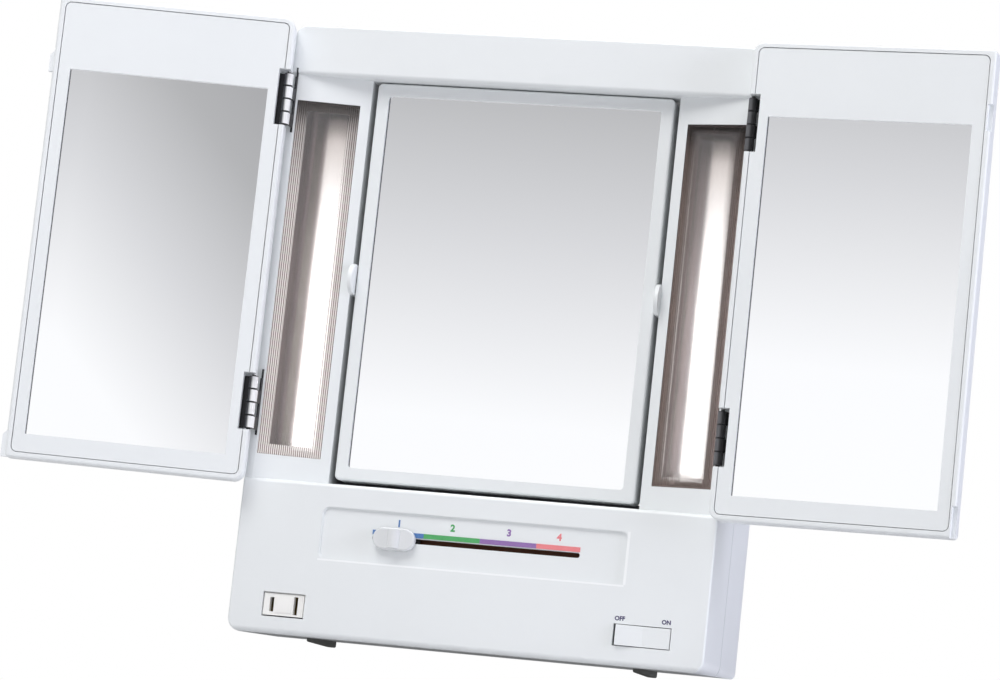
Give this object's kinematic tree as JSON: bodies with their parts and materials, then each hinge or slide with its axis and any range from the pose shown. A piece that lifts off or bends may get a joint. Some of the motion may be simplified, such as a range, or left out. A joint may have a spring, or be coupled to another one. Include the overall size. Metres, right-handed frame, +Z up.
{
  "type": "lighted makeup mirror",
  "caption": "Standing lighted makeup mirror with a turning two-sided centre mirror, folding wing mirrors, ribbed lamp columns, a light-setting slider, an outlet and a rocker switch.",
  "frame": {"origin": "middle of the base's footprint on the standing surface", "axes": "+Z up, front towards -Y, +X to the right of someone who faces the mirror"},
  "size_m": [0.4878, 0.1316, 0.3183],
  "materials": {
    "white_abs": "satin moulded",
    "dark_rubber": "matte",
    "zinc_steel": "zinc plated",
    "clear_acrylic": "clear, ribbed",
    "lamp_glass": "white coated glass",
    "mirror_glass": "silvered",
    "dark_hinge_steel": "blackened",
    "band_blue": "printed",
    "band_green": "printed",
    "band_purple": "printed",
    "band_pink": "printed",
    "film_green": "tinted film",
    "film_purple": "tinted film",
    "film_pink": "tinted film",
    "taupe_abs": "moulded",
    "white_aluminium": "white painted",
    "brass": "stamped",
    "black_nylon": "moulded",
    "ballast_iron": "laminated"
  },
  "bodies": {
    "body": {"front_housing": "white_abs", "rear_housing": "white_abs", "rubber_feet": "dark_rubber", "housing_screws": "zinc_steel", "cord_grommet": "dark_rubber", "chassis_tray": "taupe_abs", "lamp_ballast": "ballast_iron", "left_lens": "clear_acrylic", "right_lens": "clear_acrylic", "left_reflector": "white_aluminium", "right_reflector": "white_aluminium", "left_lamp": "lamp_glass", "right_lamp": "lamp_glass", "lamp_end_caps": "zinc_steel", "lower_lamp_holders": "black_nylon", "upper_lamp_holders": "black_nylon", "drive_belt": "dark_rubber", "outlet_socket": "white_abs", "outlet_contacts": "brass", "switch_housing": "black_nylon", "scale_band_1": "band_blue", "scale_band_2": "band_green", "scale_band_3": "band_purple", "scale_band_4": "band_pink", "pivot_ears": "white_abs", "left_fixed_leaves": "dark_hinge_steel", "right_fixed_leaves": "dark_hinge_steel", "left_hinge_pins": "dark_hinge_steel", "right_hinge_pins": "dark_hinge_steel"},
    "left_wing": {"left_wing_shell": "white_abs", "left_wing_bezel": "white_abs", "left_wing_mirror": "mirror_glass", "left_moving_leaves": "dark_hinge_steel"},
    "right_wing": {"right_wing_shell": "white_abs", "right_wing_bezel": "white_abs", "right_wing_mirror": "mirror_glass", "right_moving_leaves": "dark_hinge_steel"},
    "centre_mirror": {"mirror_front_frame": "white_abs", "mirror_rear_frame": "white_abs", "plain_mirror": "mirror_glass", "magnifying_mirror": "mirror_glass", "mirror_pivot_pins": "zinc_steel"},
    "slider": {"slider_knob": "white_abs", "slider_carriage": "black_nylon"},
    "left_drum": {"left_filter_drum": "taupe_abs", "left_green_film": "film_green", "left_purple_film": "film_purple", "left_pink_film": "film_pink"},
    "right_drum": {"right_filter_drum": "taupe_abs", "right_green_film": "film_green", "right_purple_film": "film_purple", "right_pink_film": "film_pink"},
    "rocker": {"switch_rocker": "white_abs"}
  },
  "joints": [
    {"name": "left_wing_hinge", "type": "hinge", "parent": "body", "child": "left_wing", "pos_m": [-0.1225, -0.05235, 0.1969], "axis": [0, 0, 1], "range_deg": [-12.3, 167.7]},
    {"name": "right_wing_hinge", "type": "hinge", "parent": "body", "child": "right_wing", "pos_m": [0.1225, -0.05235, 0.1969], "axis": [0, 0, -1], "range_deg": [-3.8, 176.2]},
    {"name": "mirror_flip", "type": "hinge", "parent": "body", "child": "centre_mirror", "pos_m": [0, -0.02875, 0.1872], "axis": [1, 0, 0], "range_deg": [0, 180]},
    {"name": "light_slider", "type": "slide", "parent": "body", "child": "slider", "axis": [1, 0, 0], "range_m": [0, 0.084]},
    {"name": "left_drum_turn", "type": "hinge", "parent": "body", "child": "left_drum", "pos_m": [-0.10195, -0.019, 0.1809], "axis": [0, 0, 1], "range_deg": [0, 270]},
    {"name": "right_drum_turn", "type": "hinge", "parent": "body", "child": "right_drum", "pos_m": [0.10195, -0.019, 0.1809], "axis": [0, 0, 1], "range_deg": [0, 270]},
    {"name": "lamp_switch", "type": "hinge", "parent": "body", "child": "rocker", "pos_m": [0.09155, -0.03875, 0.0165], "axis": [0, 0, -1], "range_deg": [0, 8]}
  ],
  "couplings": [
    {"joint": "left_drum_turn", "follows": "light_slider", "rad_per_m": 56.09},
    {"joint": "right_drum_turn", "follows": "light_slider", "rad_per_m": 56.09}
  ]
}
